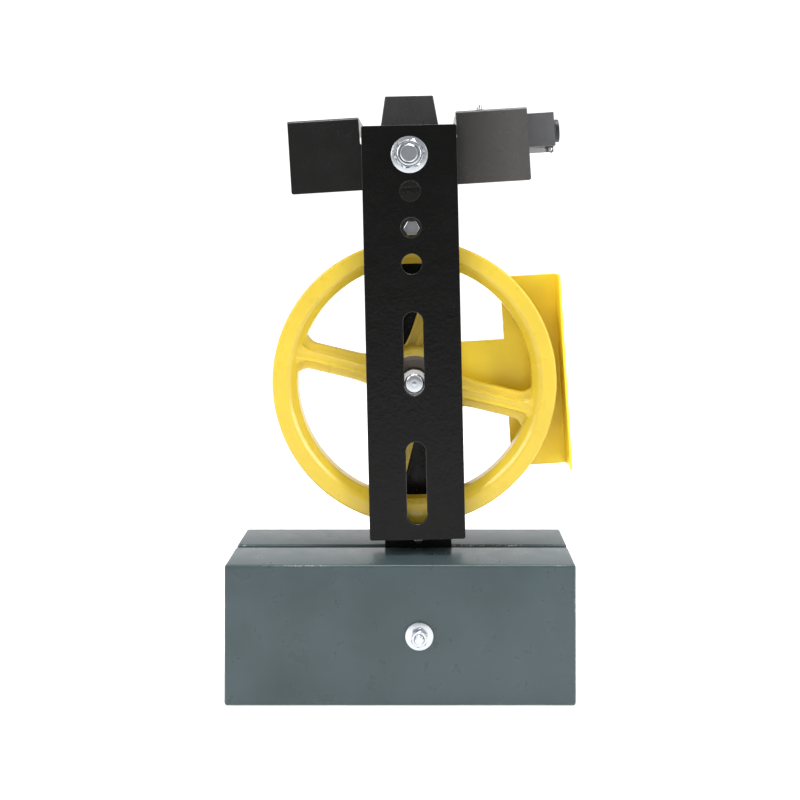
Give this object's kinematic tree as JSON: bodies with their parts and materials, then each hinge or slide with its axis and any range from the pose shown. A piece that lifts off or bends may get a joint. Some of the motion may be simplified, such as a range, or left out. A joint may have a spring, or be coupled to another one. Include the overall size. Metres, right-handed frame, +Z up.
{
  "type": "governor rope tension device",
  "caption": "Swing arm with a rope sheave, rope guard, limit switch, rail bracket and two block weights, standing on the weights.",
  "frame": {"origin": "on the floor, midway between the two weights", "axes": "+Z up, +Y towards the back, along the sheave's axle; +X to the right, the side of the limit switch and the rope guard"},
  "size_m": [0.3029, 0.1838, 0.5309],
  "materials": {
    "bracket_coat": "black powder coat, fine orange peel",
    "arm_coat": "black powder coat, wrinkled",
    "zinc_hardware": "bright zinc plate",
    "ground_steel": "ground steel",
    "bright_lever": "nickel plate",
    "bronze": "oiled bronze",
    "contact_brass": "bare brass",
    "switch_case": "moulded, matt",
    "switch_black": "moulded, matt",
    "seal_rubber": "dusty seal rubber",
    "spring_steel": "phosphated",
    "guard_yellow": "yellow powder coat, satin",
    "sheave_yellow": "yellow enamel over a casting",
    "weight_enamel": "slate grey enamel, scuffed edges",
    "weight_fill": "heavy concrete"
  },
  "bodies": {
    "bracket": {"rail_bracket": "bracket_coat", "pivot_bush": "bronze", "switch_body": "switch_case", "switch_cover": "switch_case", "switch_contacts": "contact_brass", "switch_screws": "zinc_hardware", "cover_screws": "zinc_hardware", "switch_cap": "switch_black", "lever_pin": "bright_lever", "button_spring": "spring_steel"},
    "lever": {"switch_lever": "bright_lever"},
    "button": {"switch_button": "switch_black"},
    "arm": {"front_arm_plate": "arm_coat", "rear_arm_plate": "arm_coat", "striker_plate": "arm_coat", "striker_bolt": "zinc_hardware", "pivot_sleeve": "ground_steel", "pivot_bolt": "zinc_hardware", "pivot_washer": "zinc_hardware", "pivot_nut": "zinc_hardware", "hanger_foot": "arm_coat", "hanger_tongue": "arm_coat", "tongue_screw": "zinc_hardware", "axle": "ground_steel", "axle_spacers": "ground_steel", "axle_washer": "zinc_hardware", "axle_nut": "zinc_hardware", "inner_rings": "ground_steel", "rope_guard": "guard_yellow"},
    "sheave": {"sheave": "sheave_yellow", "outer_rings": "ground_steel", "bearing_balls": "ground_steel", "bearing_seals": "seal_rubber", "circlips": "spring_steel"},
    "weights": {"front_case": "weight_enamel", "rear_case": "weight_enamel", "front_fill": "weight_fill", "rear_fill": "weight_fill", "weight_bolt": "zinc_hardware", "weight_washers": "zinc_hardware", "weight_nut": "zinc_hardware"}
  },
  "joints": [
    {"name": "arm_swing", "type": "hinge", "parent": "bracket", "child": "arm", "pos_m": [0.00731, 0, 0.4719], "axis": [0, 1, 0], "range_deg": [-18, 18]},
    {"name": "sheave_spin", "type": "hinge", "parent": "arm", "child": "sheave", "pos_m": [0.01171, 0, 0.27045], "axis": [0, 1, 0], "continuous": true},
    {"name": "weight_swing", "type": "hinge", "parent": "arm", "child": "weights", "pos_m": [0.0163, 0, 0.06], "axis": [0, 1, 0], "range_deg": [-8, 8]},
    {"name": "lever_swing", "type": "hinge", "parent": "bracket", "child": "lever", "pos_m": [0.13459, 0, 0.4795], "axis": [0, 1, 0], "range_deg": [0, 2.2], "stiffness_Nm_per_rad": 0.05, "springref_deg": -17.19},
    {"name": "button_travel", "type": "slide", "parent": "bracket", "child": "button", "axis": [-0.0619, 0, 0.9981], "range_m": [0, 0.0018], "deforming": ["button_spring"]}
  ],
  "couplings": [
    {"joint": "button_travel", "follows": "lever_swing", "m_per_rad": 0.0435}
  ]
}
